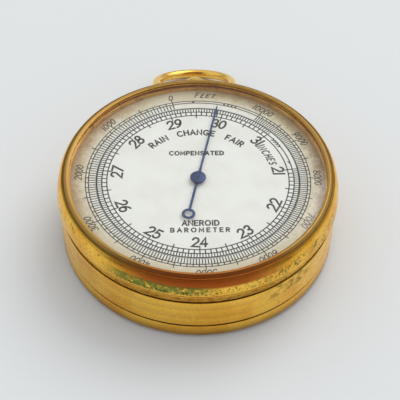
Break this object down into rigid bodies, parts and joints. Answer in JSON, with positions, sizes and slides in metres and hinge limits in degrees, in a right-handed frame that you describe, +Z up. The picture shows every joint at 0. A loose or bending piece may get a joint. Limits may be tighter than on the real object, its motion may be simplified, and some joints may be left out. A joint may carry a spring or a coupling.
{
  "type": "pocket aneroid barometer",
  "caption": "Round gilt pocket barometer with a glazed dial, a revolving altitude ring, one hand and a swinging bow on a ball pendant.",
  "frame": {"origin": "centre of the flat back of the case, on the plane it rests on", "axes": "+Z up out of the dial, +Y from the dial centre towards the pendant and bow, +X to the right of the dial"},
  "size_m": [0.048, 0.0642, 0.0153],
  "materials": {
    "gilt_brass": "worn gilt, satin",
    "movement_brass": "grained",
    "nickel_silver": "satin",
    "steel": "polished",
    "blued_steel": "heat blued",
    "silvered_dial": "fine silvered grain",
    "silvered_ring": "silvered, tarnished",
    "crystal_glass": "polished"
  },
  "bodies": {
    "case": {"middle_case": "gilt_brass", "back_cover": "gilt_brass", "pendant": "gilt_brass", "bezel_spring_ring": "steel", "base_plate": "movement_brass", "pillar_1": "movement_brass", "pillar_2": "movement_brass", "pillar_3": "movement_brass", "pillar_screw_1": "steel", "pillar_screw_2": "steel", "pillar_screw_3": "steel", "dial_plate": "movement_brass", "dial_plate_screw_1": "steel", "dial_plate_screw_2": "steel", "dial_plate_screw_3": "steel", "dial": "silvered_dial", "capsule_lower_diaphragm": "nickel_silver", "capsule_nut": "movement_brass", "main_spring": "steel", "main_spring_screw_1": "steel", "main_spring_screw_2": "steel", "shaft_bracket": "movement_brass", "shaft_bracket_screw_1": "steel", "shaft_bracket_screw_2": "steel", "arbor_cock": "movement_brass", "arbor_cock_screw": "steel", "hairspring": "blued_steel", "hairspring_stud": "movement_brass"},
    "bezel": {"bezel_ring": "gilt_brass", "crystal": "crystal_glass", "crystal_spacer_ring": "gilt_brass", "altitude_ring": "silvered_ring"},
    "bow": {"bow": "gilt_brass"},
    "hand": {"hand": "blued_steel", "hand_hub": "blued_steel", "hand_arbor": "steel", "chain_drum": "movement_brass", "hairspring_collet": "movement_brass"},
    "rocking_shaft": {"rocking_shaft": "steel", "link_arm": "movement_brass", "chain_arm": "movement_brass"},
    "main_lever": {"main_lever": "movement_brass", "main_lever_screw_1": "steel", "main_lever_screw_2": "steel", "link": "steel"},
    "capsule_top": {"capsule_upper_diaphragm": "nickel_silver", "capsule_post": "steel", "knife_edge": "steel"},
    "chain": {"fusee_chain": "steel"},
    "adjusting_screw": {"adjusting_screw": "steel"}
  },
  "joints": [
    {"name": "bezel_turn", "type": "hinge", "parent": "case", "child": "bezel", "pos_m": [0, 0, 0.0133], "axis": [0, 0, 1], "continuous": true},
    {"name": "bow_swing", "type": "hinge", "parent": "case", "child": "bow", "pos_m": [0, 0.0278, 0.0072], "axis": [1, 0, 0], "range_deg": [-95, 146]},
    {"name": "hand_turn", "type": "hinge", "parent": "case", "child": "hand", "pos_m": [0, 0, 0.0133], "axis": [0, 0, 1], "range_deg": [-37, 290.3], "stiffness_Nm_per_rad": 0.00002},
    {"name": "rocking_shaft_turn", "type": "hinge", "parent": "case", "child": "rocking_shaft", "pos_m": [0.016, 0, 0.00477], "axis": [0, 1, 0], "range_deg": [-4.46, 34.86], "stiffness_Nm_per_rad": 0.0012},
    {"name": "main_lever_tilt", "type": "hinge", "parent": "case", "child": "main_lever", "pos_m": [-0.01395, -0.0055, 0.00588], "axis": [0, -1, 0], "range_deg": [-0.25, 1.97], "stiffness_Nm_per_rad": 0.4},
    {"name": "capsule_rise", "type": "slide", "parent": "case", "child": "capsule_top", "axis": [0, 0, 1], "range_m": [-0.0000608, 0.0004777], "stiffness_N_per_m": 5000},
    {"name": "chain_draw", "type": "slide", "parent": "case", "child": "chain", "axis": [1, 0, 0], "range_m": [-0.00039, 0.00304], "stiffness_N_per_m": 1},
    {"name": "adjusting_screw_turn", "type": "hinge", "parent": "case", "child": "adjusting_screw", "pos_m": [-0.0122, -0.0055, 0.0015], "axis": [0, 0, 1], "range_deg": [-180, 180]}
  ],
  "couplings": [
    {"joint": "main_lever_tilt", "follows": "capsule_rise", "rad_per_m": 71.686},
    {"joint": "rocking_shaft_turn", "follows": "capsule_rise", "rad_per_m": 1272.5},
    {"joint": "chain_draw", "follows": "capsule_rise", "ratio": 6.3627},
    {"joint": "hand_turn", "follows": "capsule_rise", "rad_per_m": 10604}
  ]
}
